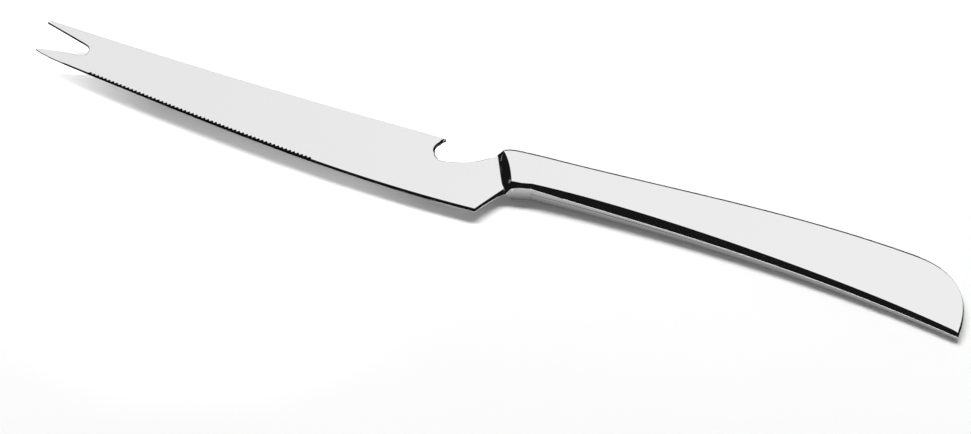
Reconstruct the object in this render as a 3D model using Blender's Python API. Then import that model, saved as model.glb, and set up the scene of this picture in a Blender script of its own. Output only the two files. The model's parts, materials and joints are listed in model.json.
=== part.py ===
"""Citrus knife with a forked tip, a fine-toothed edge and a cap-lifter notch in its spine.

The blade is forged in one with its bolster and tang. The tang is set with cement in a hollow
handle of two pressed half shells, which are soldered together along their rim.

The knife is drawn flat: x runs from the fork's tip to the butt, y points to the spine, and the
middle plane is z = 0. A root empty then lays it on the flat side of its tapering handle, with
the middle of its footprint at the origin.
"""

import math
from collections import namedtuple

import bmesh
import bpy
from mathutils import Vector

# Blade outline, in metres
BLADE_LENGTH = 0.1212
SPINE_AT_TIP = 0.0058
SPINE_AT_BEAK = 0.0046
SPINE_HOLLOW = 0.00083
EDGE_AT_FORK = -0.0060
EDGE_AT_HEEL = -0.0135
EDGE_PULL_FRONT = -0.0102
EDGE_PULL_REAR = -0.0152
HEEL_ANGLE_DEG = 72.0

# Fork
FORK_DEPTH = 0.0135
FORK_ROOT_RADIUS = 0.00188
FORK_AXIS_Y = -0.0003
TINE_LENGTH = 0.0095
UPPER_TINE_TIP_Y = 0.0049
UPPER_TINE_ROUND = 0.0007
LOWER_TINE_TIP_Y = -0.0039
LOWER_TINE_SETBACK = 0.0008
TINE_TIP_WIDTH = 0.0004
FORK_CHAMFER = 0.00015

# Blade section: half thickness of the flat plate and how it thins
NECK_HALF_THICKNESS = 0.00068
TIP_HALF_THICKNESS = 0.00030
HEEL_HALF_THICKNESS = 0.00042
EDGE_LAND = 0.00014
SPINE_CHAMFER = 0.00015

# Teeth, ground into the upper side of the edge
TOOTH_PITCH = 0.00107
TOOTH_COUNT = 58
TEETH_START = 0.0163
TOOTH_REACH = 0.00036
TOOTH_BITE = 0.00006
TOOTH_SETBACK = 0.00012
BEVEL_WIDTH = 0.00032
UNDER_BEVEL = 0.00005

# Cap-lifter notch in the spine
BEAK_TO_HEEL = 0.0141
HOOK_RADIUS = 0.0028
HOOK_SWEEP_DEG = 130
HOOK_SETBACK = 0.0013
HOOK_DROP = 0.0036
BEAK_THICKNESS = 0.0003
NOTCH_CHAMFER = 0.0004
SHOULDER_TO_HEEL = 0.0006
SHOULDER_Y = 0.0043
FLOOR_PULL_X = 0.0043
FLOOR_PULL_Y = 0.0012

# Bolster: a slanted ramp from the blade's flat up to the handle's
FOOT_BEHIND_HEEL = 0.0015
RAMP_SLANT_DEG = 25.5
RAMP_RUN = 0.0023
RAMP_RUN_FAR = 0.0014
CREST_FULLNESS = 0.75
BOLSTER_LENGTH = 0.0108
HEEL_CHAMFER = 0.00015
NECK_CHAMFER = 0.0011
NECK_DROP = 0.0005
CORNER_PULL_X = 0.0017
CORNER_PULL_Y = 0.0019

# Handle outline, section and wall
HANDLE_LENGTH = 0.1080
MOUTH_FAR_Y = 0.0062
FAR_PULL_FRONT = 0.0077
FAR_PULL_REAR = 0.0120
BUTT_SHOULDER_Y = 0.0099
BUTT_DEPTH = 0.0160
BUTT_CORNER_Y = -0.0093
BUTT_PULL_OUT = 0.0004
BUTT_PULL_Y = 0.0015
BUTT_PULL_BACK = 0.0041
BUTT_PULL_DOWN = 0.0010
MOUTH_NEAR_Y = -0.00365
NEAR_PULL_FRONT = -0.0027
NEAR_PULL_REAR = -0.0033
MOUTH_THICKNESS = 0.0060
BUTT_THICKNESS = 0.0026
MOUTH_BEVEL = 0.00135
BUTT_BEVEL = 0.00035
FAR_BEVEL = 0.0006
SHELL_WALL = 0.0007

# Tang, cement and the joints' clearances
TANG_LENGTH = 0.0400
TANG_WIDTH = 0.0050
TANG_END_WIDTH = 0.0034
TANG_THICKNESS = 0.0016
TANG_ROOT = 0.0040
TANG_KEY_DEPTH = 0.0006
TANG_KEY_LENGTH = 0.0030
TANG_KEY_COUNT = 2
CEMENT_PAST_TANG = 0.0060
SOLDER_THICKNESS = 0.0002
SOLDER_GAP = 0.00015
FIT_GAP = 0.00025

# Mesh fineness
STEPS_SIDE = 20
STEPS_CURVE = 10
HALVINGS = 40
MITRE_LIMIT = 0.6
SMOOTH_ANGLE = math.radians(35)

# Places that follow from the sizes
BEAK_X = BLADE_LENGTH - BEAK_TO_HEEL
FOOT_X = BLADE_LENGTH + FOOT_BEHIND_HEEL
MOUTH_X = BLADE_LENGTH + BOLSTER_LENGTH
BUTT_X = MOUTH_X + HANDLE_LENGTH
SHOULDER_X = BUTT_X - BUTT_DEPTH
RAMP_SLANT = math.radians(RAMP_SLANT_DEG)
HALF_TAPER = (MOUTH_THICKNESS - BUTT_THICKNESS) / 2 / HANDLE_LENGTH

# One upright line of the outline: its place in plan, how far the flat above and below is set
# in from it and drops to it, and how far the wall itself is set in where a tooth gap is ground.
Column = namedtuple("Column", "x y inset drop under_inset under_drop setback normal")


def column(point, inset, drop, under=None, setback=0.0, normal=None):
    under_inset, under_drop = under or (inset, drop)
    return Column(point[0], point[1], inset, drop, under_inset, under_drop, setback, normal)


def bezier(points, t):
    points = [Vector(p) for p in points]
    while len(points) > 1:
        points = [a.lerp(b, t) for a, b in zip(points, points[1:])]
    return points[0]


def sample(points, count):
    return [bezier(points, i / count) for i in range(count + 1)]


def pulled(start, pulls, end):
    """A curve whose pull heights stand at even steps in x, so that x runs evenly along it."""
    inner = [(start[0] + (end[0] - start[0]) * (i + 1) / (len(pulls) + 1), y)
             for i, y in enumerate(pulls)]
    return [start, *inner, end]


def height_at(curve, x):
    return bezier(curve, (x - curve[0][0]) / (curve[-1][0] - curve[0][0])).y


# Curves of the outline
SPINE_MIDDLE = (SPINE_AT_TIP + SPINE_AT_BEAK) / 2 - 2 * SPINE_HOLLOW
SPINE = pulled((UPPER_TINE_ROUND, SPINE_AT_TIP), [SPINE_MIDDLE], (BEAK_X, SPINE_AT_BEAK))
EDGE = pulled((TINE_LENGTH, EDGE_AT_FORK), [EDGE_PULL_FRONT, EDGE_PULL_REAR],
              (BLADE_LENGTH, EDGE_AT_HEEL))
FAR_SIDE = pulled((MOUTH_X, MOUTH_FAR_Y), [FAR_PULL_FRONT, FAR_PULL_REAR],
                  (SHOULDER_X, BUTT_SHOULDER_Y))
NEAR_SIDE = pulled((MOUTH_X, MOUTH_NEAR_Y), [NEAR_PULL_FRONT, NEAR_PULL_REAR],
                   (BUTT_X, BUTT_CORNER_Y))


def plate_half(x, y):
    """Half thickness of the blade's flat plate, which thins to the tip and to the edge."""
    along = (NECK_HALF_THICKNESS - TIP_HALF_THICKNESS) / FOOT_X
    across = (NECK_HALF_THICKNESS - HEEL_HALF_THICKNESS) / -EDGE_AT_HEEL
    return TIP_HALF_THICKNESS + along * x + across * y


def handle_half(x):
    return MOUTH_THICKNESS / 2 - HALF_TAPER * (x - MOUTH_X)


def near_bevel(x):
    """The handle's broad facet, on its cutting side only, which narrows towards the butt."""
    along = max(0.0, (x - MOUTH_X) / HANDLE_LENGTH)
    return MOUTH_BEVEL - (MOUTH_BEVEL - BUTT_BEVEL) * along ** 3


def past_foot(x, y):
    """Distance behind the slanted line where the ramp rises from the blade's flat."""
    return (x - FOOT_X) * math.cos(RAMP_SLANT) + y * math.sin(RAMP_SLANT)


def flat_half(x, y):
    return plate_half(x, y) if past_foot(x, y) < RAMP_RUN_FAR / 2 else handle_half(x)


def left_normal(before, after):
    step = Vector(after) - Vector(before)
    return Vector((-step.y, step.x)).normalized()


def inward_normals(columns):
    """Inward unit steps of a counter-clockwise outline, lengthened a little at its corners."""
    normals = []
    for i, col in enumerate(columns):
        here = Vector((col.x, col.y))
        before = columns[i - 1]
        after = columns[(i + 1) % len(columns)]
        first = left_normal((before.x, before.y), here)
        second = left_normal(here, (after.x, after.y))
        middle = (first + second).normalized()
        normals.append(Vector(col.normal) if col.normal else middle / max(MITRE_LIMIT, middle.dot(first)))
    return normals


def plan_points(columns, distance):
    """The outline moved inwards; distance gives how far at each column."""
    return [Vector((col.x, col.y)) + normal * distance(col)
            for col, normal in zip(columns, inward_normals(columns))]


def crossing(curve, inset, behind):
    """Where a curve, moved in by inset, crosses the line that lies so far behind the ramp's foot."""
    low, high = 0.0, 1.0
    step = 0.001

    def gap(t):
        normal = left_normal(bezier(curve, t - step), bezier(curve, t + step))
        point = bezier(curve, t) + normal * inset
        return past_foot(point.x, point.y) - behind

    rising = gap(high) > gap(low)
    for _ in range(HALVINGS):
        middle = (low + high) / 2
        if (gap(middle) > 0) == rising:
            high = middle
        else:
            low = middle
    return low


def new_object(name, bm, material, root):
    bmesh.ops.recalc_face_normals(bm, faces=bm.faces)
    mesh = bpy.data.meshes.new(name)
    bm.to_mesh(mesh)
    bm.free()
    mesh.shade_smooth()
    mesh.set_sharp_from_angle(angle=SMOOTH_ANGLE)
    obj = bpy.data.objects.new(name, mesh)
    bpy.context.collection.objects.link(obj)
    obj.parent = root
    if material:
        mesh.materials.append(material)
    return obj


# A power of two, so that the way back to metres loses nothing.
ENLARGEMENT = 1024


def skin(name, rings, material, root, caps=None, looped=False):
    """A closed skin over rings of equally many points, capped at both ends or looped round.

    caps gives the faces of the first and of the last ring; a face lists places in its ring,
    or points of its own that lie inside the ring. Broad faces are split into even triangles,
    because nearly straight runs of their outlines would otherwise give slivers. They are
    enlarged meanwhile, because in metres their areas are too small to be told from nothing.
    """
    bm = bmesh.new()
    rows = [[bm.verts.new(p) for p in ring] for ring in rings]
    count = len(rows[0])
    pairs = list(zip(rows, rows[1:]))
    if looped:
        pairs.append((rows[-1], rows[0]))
    for upper, lower in pairs:
        for i in range(count):
            j = (i + 1) % count
            bm.faces.new((upper[i], upper[j], lower[j], lower[i]))
    if not looped:
        whole = [range(count)]
        inner = {}
        for row, faces in zip((rows[0], rows[-1]), caps or (whole, whole)):
            for face in faces:
                points = [p for p in face if not isinstance(p, int)]
                inner.update({p: bm.verts.new(p) for p in points if p not in inner})
                bm.faces.new([row[p] if isinstance(p, int) else inner[p] for p in face])
    broad = [face for face in bm.faces if len(face.verts) > 4]
    bmesh.ops.scale(bm, vec=[ENLARGEMENT] * 3, verts=bm.verts)
    bmesh.ops.triangulate(bm, faces=broad, ngon_method="BEAUTY")
    bmesh.ops.scale(bm, vec=[1 / ENLARGEMENT] * 3, verts=bm.verts)
    return new_object(name, bm, material, root)


def prism(name, outline, low, high, root):
    """An extruded outline, used to add to or cut from a piece and not shown itself."""
    rings = [[(x, y, z) for x, y in outline] for z in (high, low)]
    obj = skin(name, rings, None, root)
    obj.hide_render = True
    obj.display_type = "WIRE"
    return obj


def join(obj, other, operation):
    modifier = obj.modifiers.new(other.name, "BOOLEAN")
    modifier.operation = operation
    modifier.object = other
    modifier.solver = "EXACT"


def plain_material(name, colour, roughness, metallic=1.0):
    material = bpy.data.materials.new(name)
    material.use_nodes = True
    shader = material.node_tree.nodes["Principled BSDF"]
    shader.inputs["Base Color"].default_value = (*colour, 1.0)
    shader.inputs["Roughness"].default_value = roughness
    shader.inputs["Metallic"].default_value = metallic
    return material


def edge_columns():
    """The cutting edge from behind the lower tine to just before the heel's corner."""
    teeth_end = TEETH_START + TOOTH_PITCH * TOOTH_COUNT
    columns = []

    def plain(x):
        y = height_at(EDGE, x)
        bevel = plate_half(x, y) - EDGE_LAND / 2
        columns.append(column((x, y), bevel, bevel))

    def toothed(x, reach, bite, setback):
        y = height_at(EDGE, x)
        drop = 2 * plate_half(x, y) - EDGE_LAND - UNDER_BEVEL + bite
        columns.append(column((x, y), BEVEL_WIDTH + reach, drop, (UNDER_BEVEL, UNDER_BEVEL), setback))

    for i in range(STEPS_CURVE // 2):
        plain(TINE_LENGTH + (TEETH_START - TINE_LENGTH) * i / (STEPS_CURVE // 2))
    for i in range(TOOTH_COUNT):
        start = TEETH_START + TOOTH_PITCH * i
        toothed(start, 0.0, 0.0, 0.0)
        toothed(start + TOOTH_PITCH / 2, TOOTH_REACH, TOOTH_BITE, TOOTH_SETBACK)
    toothed(teeth_end, 0.0, 0.0, 0.0)
    for i in range(STEPS_CURVE):
        plain(teeth_end + TOOTH_PITCH + (BLADE_LENGTH - teeth_end - TOOTH_PITCH) * i / STEPS_CURVE)
    return columns


def heel_columns():
    """From the heel's sharp corner up the back of the blade to the handle's mouth.

    Returns the columns and the place of the ramp's foot among them.
    """
    lean = math.radians(HEEL_ANGLE_DEG)
    rise = MOUTH_NEAR_Y - EDGE_AT_HEEL
    bend = (BLADE_LENGTH + rise / math.tan(lean), MOUTH_NEAR_Y)
    curve = [(BLADE_LENGTH, EDGE_AT_HEEL), bend, (MOUTH_X, MOUTH_NEAR_Y)]
    foot = crossing(curve, NECK_CHAMFER, 0.0)
    top = crossing(curve, MOUTH_BEVEL, RAMP_RUN)
    columns = []
    for i in range(STEPS_CURVE + 1):
        share = i / STEPS_CURVE
        inset = HEEL_CHAMFER + (NECK_CHAMFER - HEEL_CHAMFER) * share ** 3
        drop = HEEL_CHAMFER + (NECK_DROP - HEEL_CHAMFER) * share ** 3
        columns.append(column(bezier(curve, foot * share), inset, drop))
    foot_index = len(columns) - 1
    for i in range(STEPS_CURVE):
        t = top + (1.0 - top) * i / STEPS_CURVE
        columns.append(column(bezier(curve, t), MOUTH_BEVEL, MOUTH_BEVEL))
    columns.append(column(curve[-1], MOUTH_BEVEL, MOUTH_BEVEL, normal=(0.0, 1.0)))
    return columns, foot_index


def notch_columns():
    """From the handle's mouth along the spine side: bolster corner, notch floor, hook and beak.

    Returns the columns and the place of the ramp's foot among them.
    """
    shoulder = (BLADE_LENGTH - SHOULDER_TO_HEEL, SHOULDER_Y)
    hook = Vector((BEAK_X + HOOK_SETBACK, SPINE_AT_BEAK - HOOK_DROP))
    floor_start = (hook.x, hook.y - HOOK_RADIUS)
    corner = [(MOUTH_X, MOUTH_FAR_Y), (shoulder[0] + CORNER_PULL_X, shoulder[1] + CORNER_PULL_Y), shoulder]
    floor = [shoulder, (shoulder[0] - FLOOR_PULL_X, floor_start[1] + FLOOR_PULL_Y), floor_start]
    top = crossing(corner, FAR_BEVEL, RAMP_RUN_FAR)
    foot = crossing(floor, NOTCH_CHAMFER, 0.0)
    columns = [column(corner[0], FAR_BEVEL, FAR_BEVEL, normal=(0.0, -1.0))]
    for i in range(1, STEPS_CURVE + 1):
        columns.append(column(bezier(corner, top * i / STEPS_CURVE), FAR_BEVEL, FAR_BEVEL))
    foot_index = len(columns)
    for i in range(STEPS_CURVE):
        t = foot + (1.0 - foot) * i / STEPS_CURVE
        columns.append(column(bezier(floor, t), NOTCH_CHAMFER, NOTCH_CHAMFER))
    for i in range(STEPS_CURVE + 1):
        angle = math.radians(270 - HOOK_SWEEP_DEG * i / STEPS_CURVE)
        point = hook + HOOK_RADIUS * Vector((math.cos(angle), math.sin(angle)))
        columns.append(column(point, NOTCH_CHAMFER, NOTCH_CHAMFER))
    columns.append(column((BEAK_X, SPINE_AT_BEAK - BEAK_THICKNESS), SPINE_CHAMFER, SPINE_CHAMFER))
    return columns, foot_index


def tip_columns():
    """The spine from the beak forwards, then round both tines and the root between them."""
    columns = [column(p, SPINE_CHAMFER, SPINE_CHAMFER) for p in reversed(sample(SPINE, STEPS_CURVE))]

    def fork(points):
        columns.extend(column(p, FORK_CHAMFER, FORK_CHAMFER) for p in points)

    upper_tip = Vector((0.0, UPPER_TINE_TIP_Y))
    lower_tip = Vector((LOWER_TINE_SETBACK, LOWER_TINE_TIP_Y))
    root = Vector((FORK_DEPTH - FORK_ROOT_RADIUS, FORK_AXIS_Y))
    away = upper_tip - root
    start = math.atan2(away.y, away.x) - math.acos(FORK_ROOT_RADIUS / away.length)
    end = -math.pi / 2
    fork([(TINE_TIP_WIDTH / 2, UPPER_TINE_TIP_Y + TINE_TIP_WIDTH), upper_tip])
    angles = [start + (end - start) * i / STEPS_CURVE for i in range(STEPS_CURVE + 1)]
    fork(root + FORK_ROOT_RADIUS * Vector((math.cos(a), math.sin(a))) for a in angles)
    inner_start = root + FORK_ROOT_RADIUS * Vector((math.cos(end), math.sin(end)))
    inner_end = lower_tip + Vector((0.0, TINE_TIP_WIDTH / 2))
    inner_pull = ((inner_start.x + inner_end.x) / 2, inner_start.y)
    fork(sample([inner_start, inner_pull, inner_end], STEPS_CURVE)[1:])
    outer_start = lower_tip - Vector((0.0, TINE_TIP_WIDTH / 2))
    outer_pull = (outer_start.x + (TINE_LENGTH - outer_start.x) / 3, (outer_start.y + 2 * EDGE_AT_FORK) / 3)
    fork(sample([outer_start, outer_pull, EDGE[0]], STEPS_CURVE)[:-1])
    return columns


def tang_outline(grow):
    """The tang in plan, waisted by keys that the cement grips, grown all round by a clearance."""
    start = MOUTH_X - TANG_ROOT
    end = MOUTH_X + TANG_LENGTH
    middle_start = (MOUTH_FAR_Y + MOUTH_NEAR_Y) / 2
    middle_end = (height_at(FAR_SIDE, end) + height_at(NEAR_SIDE, end)) / 2
    stations = [(start, 0.0)]
    for i in range(TANG_KEY_COUNT):
        centre = MOUTH_X + TANG_LENGTH * (i + 1) / (TANG_KEY_COUNT + 1)
        stations += [(centre - TANG_KEY_LENGTH / 2, 0.0), (centre, TANG_KEY_DEPTH),
                     (centre + TANG_KEY_LENGTH / 2, 0.0)]
    stations.append((end + grow, 0.0))

    def side(sign):
        points = []
        for x, key in stations:
            share = max(0.0, (x - MOUTH_X) / TANG_LENGTH)
            middle = middle_start + (middle_end - middle_start) * share
            half = (TANG_WIDTH + (TANG_END_WIDTH - TANG_WIDTH) * share) / 2
            points.append((x, middle + sign * (half - key + grow)))
        return points

    return side(-1) + side(1)[::-1]


def ramp_caps(ring, foot_near, foot_far, sign):
    """Faces of one flat side: the blade's flat, the ramp in strips, and the bolster's flat."""
    crest_near, crest_far = foot_near + 1, foot_far - 1
    near, far = Vector(ring[foot_near]), Vector(ring[foot_far])
    start, end = Vector(ring[crest_near]), Vector(ring[crest_far])
    pull = start + (far - near) * CREST_FULLNESS
    shares = [i / STEPS_CURVE for i in range(1, STEPS_CURVE)]
    crest = [bezier([start.xy, pull.xy, end.xy], t) for t in shares]
    foot_row = [foot_near, *(tuple(near.lerp(far, t)) for t in shares), foot_far]
    crest_row = [crest_near, *((p.x, p.y, sign * handle_half(p.x)) for p in crest), crest_far]
    strips = [[a, b, d, c] for a, b, c, d in zip(foot_row, foot_row[1:], crest_row, crest_row[1:])]
    blade_flat = [*range(foot_far, len(ring)), *range(foot_near), *foot_row[:-1]]
    bolster_flat = [*range(crest_near, crest_far), *crest_row[:0:-1]]
    return [blade_flat, *strips, bolster_flat]


def make_blade(root):
    heel, heel_foot = heel_columns()
    notch, notch_foot = notch_columns()
    edge = edge_columns()
    columns = edge + heel + notch + tip_columns()
    foot_near = len(edge) + heel_foot
    foot_far = len(edge) + len(heel) + notch_foot
    flat = plan_points(columns, lambda c: c.inset)
    wall = plan_points(columns, lambda c: c.setback)
    under = plan_points(columns, lambda c: c.under_inset)
    rings = [[(p.x, p.y, flat_half(p.x, p.y)) for p in flat],
             [(w.x, w.y, flat_half(p.x, p.y) - c.drop) for w, p, c in zip(wall, flat, columns)],
             [(w.x, w.y, c.under_drop - flat_half(p.x, p.y)) for w, p, c in zip(wall, under, columns)],
             [(p.x, p.y, -flat_half(p.x, p.y)) for p in under]]
    caps = [ramp_caps(rings[0], foot_near, foot_far, 1), ramp_caps(rings[-1], foot_near, foot_far, -1)]
    material = plain_material("polished_blade_steel", (0.82, 0.82, 0.82), 0.05)
    blade = skin("blade", rings, material, root, caps)
    half = TANG_THICKNESS / 2
    join(blade, prism("tang_core", tang_outline(0.0), -half, half, root), "UNION")


def handle_columns(front):
    """The handle's outline behind a cross plane, counter-clockwise from its near front corner."""
    columns = []

    def add(point, bevel, **extra):
        columns.append(column(point, bevel, bevel, **extra))

    def even(start, end):
        return [start + (end - start) * i / STEPS_SIDE for i in range(STEPS_SIDE + 1)]

    butt = [(BUTT_X, BUTT_CORNER_Y), (BUTT_X + BUTT_PULL_OUT, BUTT_PULL_Y),
            (BUTT_X - BUTT_PULL_BACK, BUTT_SHOULDER_Y - BUTT_PULL_DOWN), (SHOULDER_X, BUTT_SHOULDER_Y)]
    add((front, height_at(NEAR_SIDE, front)), near_bevel(front), normal=(0.0, 1.0))
    for x in even(front, BUTT_X)[1:]:
        add((x, height_at(NEAR_SIDE, x)), near_bevel(x))
    for point, bevel in zip(sample(butt, STEPS_SIDE)[1:], even(BUTT_BEVEL, FAR_BEVEL)[1:]):
        add(point, bevel)
    for x in even(SHOULDER_X, front)[1:-1]:
        add((x, height_at(FAR_SIDE, x)), FAR_BEVEL)
    add((front, height_at(FAR_SIDE, front)), FAR_BEVEL, normal=(0.0, -1.0))
    return columns


def inner_profile(col, wall):
    """Set-ins and depths of the handle's section at a wall's depth: flat edge, then bevel foot."""
    slope = math.sqrt(2) - 1
    return (col.inset + slope * wall, wall), (wall, col.drop + slope * wall)


def section_ring(columns, wall, part, front, sign=1):
    """One ring of the handle's section at a wall's depth; part 0 is the flat's edge, 1 the bevel's foot."""
    ring = []
    points = plan_points(columns, lambda c: inner_profile(c, wall)[part][0])
    for point, col in zip(points, columns):
        depth = inner_profile(col, wall)[part][1]
        x = max(point.x, front)
        ring.append((x, point.y, sign * (handle_half(x) - depth)))
    return ring


def make_shell(name, sign, material, root):
    front = MOUTH_X + FIT_GAP
    rim = sign * (SOLDER_THICKNESS / 2 + SOLDER_GAP)
    columns = handle_columns(front)
    outer = [section_ring(columns, 0.0, part, front, sign) for part in (0, 1)]
    inner = [section_ring(columns, SHELL_WALL, part, front + SHELL_WALL, sign) for part in (1, 0)]
    rims = [[(x, y, rim) for x, y, _ in ring] for ring in (outer[1], inner[0])]
    return skin(name, [*outer, *rims, *inner], material, root)


def make_solder(root):
    front = MOUTH_X + FIT_GAP
    columns = handle_columns(front)
    outer = section_ring(columns, 0.0, 1, front)
    inner = section_ring(columns, SHELL_WALL, 1, front + SHELL_WALL)
    half = SOLDER_THICKNESS / 2
    rings = [[(x, y, z) for x, y, _ in ring]
             for ring, z in ((outer, half), (outer, -half), (inner, -half), (inner, half))]
    material = plain_material("silver_solder", (0.75, 0.74, 0.71), 0.15)
    return skin("rim_solder", rings, material, root, looped=True)


def make_cement(root):
    front = MOUTH_X + FIT_GAP + SHELL_WALL + FIT_GAP
    back = MOUTH_X + TANG_LENGTH + CEMENT_PAST_TANG
    depth = SHELL_WALL + FIT_GAP
    stations = [front + (back - front) * i / STEPS_SIDE for i in range(STEPS_SIDE + 1)]
    columns = []
    for x in stations:
        columns.append(column((x, height_at(NEAR_SIDE, x)), near_bevel(x), near_bevel(x), normal=(0.0, 1.0)))
    for x in reversed(stations):
        columns.append(column((x, height_at(FAR_SIDE, x)), FAR_BEVEL, FAR_BEVEL, normal=(0.0, -1.0)))
    rings = [section_ring(columns, depth, part, front, sign)
             for part, sign in ((0, 1), (1, 1), (1, -1), (0, -1))]
    material = plain_material("setting_cement", (0.42, 0.39, 0.34), 0.9, metallic=0.0)
    cement = skin("tang_cement", rings, material, root)
    half = TANG_THICKNESS / 2 + FIT_GAP
    join(cement, prism("tang_pocket", tang_outline(FIT_GAP), -half, half, root), "DIFFERENCE")


def make_handle(root):
    material = plain_material("polished_handle_steel", (0.82, 0.82, 0.82), 0.05)
    shells = [make_shell("upper_handle_shell", 1, material, root),
              make_shell("lower_handle_shell", -1, material, root)]
    half = TANG_THICKNESS / 2 + FIT_GAP
    middle = (MOUTH_FAR_Y + MOUTH_NEAR_Y) / 2
    width = TANG_WIDTH / 2 + FIT_GAP
    back = MOUTH_X + 2 * (FIT_GAP + SHELL_WALL)
    outline = [(MOUTH_X - TANG_ROOT, middle - width), (back, middle - width),
               (back, middle + width), (MOUTH_X - TANG_ROOT, middle + width)]
    slot = prism("tang_slot", outline, -half, half, root)
    for piece in (*shells, make_solder(root)):
        join(piece, slot, "DIFFERENCE")


def lay_down(root):
    """Turns the knife onto its handle's lower flat and centres its footprint on the origin."""
    root.rotation_euler = (0.0, math.atan(HALF_TAPER), 0.0)
    bpy.context.view_layer.update()
    corners = [root.matrix_world @ v.co
               for obj in root.children if not obj.hide_render for v in obj.data.vertices]
    low = Vector([min(c[i] for c in corners) for i in range(3)])
    high = Vector([max(c[i] for c in corners) for i in range(3)])
    root.location = (-(low.x + high.x) / 2, -(low.y + high.y) / 2, -low.z)


def main():
    for obj in list(bpy.data.objects):
        bpy.data.objects.remove(obj, do_unlink=True)
    root = bpy.data.objects.new("knife_root", None)
    bpy.context.collection.objects.link(root)
    make_blade(root)
    make_handle(root)
    make_cement(root)
    lay_down(root)


main()
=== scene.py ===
# %% [markdown]
# # A citrus knife in polished steel
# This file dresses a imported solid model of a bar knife: forked tip, fine-toothed edge, cap-lifter
# notch, stepped bolster and a flat hollow handle. The solids fix where everything is. What is added
# here is what the eye reads: rounded edges, ground teeth, mirror polish, and a studio to reflect.

# %% Load the solid model
import json
import math
from collections import namedtuple

import bmesh
import bpy
from mathutils import Matrix, Vector

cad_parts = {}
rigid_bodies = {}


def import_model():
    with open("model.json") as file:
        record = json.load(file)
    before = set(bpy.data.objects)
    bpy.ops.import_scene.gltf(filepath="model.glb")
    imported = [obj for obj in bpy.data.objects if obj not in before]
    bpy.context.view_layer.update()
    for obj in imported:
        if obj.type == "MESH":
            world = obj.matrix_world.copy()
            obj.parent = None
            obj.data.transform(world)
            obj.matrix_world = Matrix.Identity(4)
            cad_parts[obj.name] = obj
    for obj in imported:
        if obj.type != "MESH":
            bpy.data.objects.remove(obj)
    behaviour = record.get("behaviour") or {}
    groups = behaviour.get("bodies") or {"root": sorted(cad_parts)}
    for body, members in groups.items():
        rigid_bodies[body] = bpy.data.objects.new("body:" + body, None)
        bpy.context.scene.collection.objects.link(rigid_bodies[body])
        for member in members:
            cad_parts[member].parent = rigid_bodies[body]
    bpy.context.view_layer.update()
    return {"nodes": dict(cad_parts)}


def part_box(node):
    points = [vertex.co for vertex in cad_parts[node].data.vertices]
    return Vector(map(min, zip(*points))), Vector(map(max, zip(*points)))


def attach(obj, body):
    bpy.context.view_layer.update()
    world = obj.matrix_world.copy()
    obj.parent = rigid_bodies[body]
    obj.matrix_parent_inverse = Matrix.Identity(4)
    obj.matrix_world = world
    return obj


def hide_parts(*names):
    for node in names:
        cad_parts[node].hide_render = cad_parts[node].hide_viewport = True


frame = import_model()
scene = bpy.context.scene
print("nodes:", sorted(frame["nodes"]))

# %% [markdown]
# ## The camera
# A long lens far away and a close wide one can frame the same knife, but only one gives the same
# convergence of its two sides. Here the camera was fitted to the knife's own corners, so it is
# written as what was fitted: where it looks, from which side and how high, and how far away.

# %% Camera at the photograph's viewing angle
IMAGE_WIDTH = 971
FOCAL_PIXELS = 3000
SENSOR_WIDTH_MM = 36.0
VIEW_AZIMUTH = 19.7
VIEW_ELEVATION = 53.0
VIEW_DISTANCE = 0.726
VIEW_TARGET = Vector((0.0033, -0.01024, 0.0))


def direction(azimuth, elevation):
    """Unit step towards an azimuth and elevation in degrees; azimuth 0 is the side of -Y."""
    a, e = math.radians(azimuth), math.radians(elevation)
    return Vector((math.sin(a) * math.cos(e), -math.cos(a) * math.cos(e), math.sin(e)))


def link(name, data):
    obj = bpy.data.objects.new(name, data)
    scene.collection.objects.link(obj)
    return obj


camera = link("camera", bpy.data.cameras.new("camera"))
camera.data.sensor_width = SENSOR_WIDTH_MM
camera.data.lens = SENSOR_WIDTH_MM * FOCAL_PIXELS / IMAGE_WIDTH
camera.location = VIEW_TARGET + VIEW_DISTANCE * direction(VIEW_AZIMUTH, VIEW_ELEVATION)
camera.rotation_euler = (math.radians(90 - VIEW_ELEVATION), 0.0, math.radians(VIEW_AZIMUTH))
scene.camera = camera
scene.view_settings.view_transform = "Standard"
print("lens", round(camera.data.lens, 1), "mm")

# %% [markdown]
# ## Adding shader nodes
# Every material below is a handful of nodes. One helper adds a node, sets its options and fills its
# inputs, with a plain value or with the output of another node. Colours are written as the hex
# values that a paint program shows and turned to the linear values that a renderer works with.

# %% Helpers for materials
MM = 0.001


def node(tree, kind, inputs=None, **options):
    made = tree.nodes.new(kind)
    for name, value in options.items():
        setattr(made, name, value)
    for name, value in (inputs or {}).items():
        if isinstance(value, bpy.types.NodeSocket):
            tree.links.new(value, made.inputs[name])
        else:
            made.inputs[name].default_value = value
    return made


def linear(code):
    """An sRGB hex colour as linear red, green, blue and a full alpha."""
    shares = [int(code[i:i + 2], 16) / 255 for i in (1, 3, 5)]
    return (*(s / 12.92 if s <= 0.04045 else ((s + 0.055) / 1.055) ** 2.4 for s in shares), 1.0)


def new_material(name):
    material = bpy.data.materials.new(name)
    material.use_nodes = True
    material.node_tree.nodes.clear()
    return material, material.node_tree


print("a mid grey is", round(linear("#808080")[0], 3), "linear")

# %% [markdown]
# ## The studio
# Polished steel has no colour of its own to speak of: it shows the room. The room here is a white
# sweep lit by a long soft lamp overhead, a little behind the knife, so that its short shadow falls
# towards the camera. Three spots beside the lens lighten the shadow of the raised blade, clear the
# paper that shows through the notch and nearly clear it round the fork. Lamps are kept out of
# reflections, and the white room stands in for them. It is bright only to the eye: light that has
# touched the paper finds it dim, or no shadow would be left.

# %% White room
ROOM_FILL = 0.22

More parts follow.
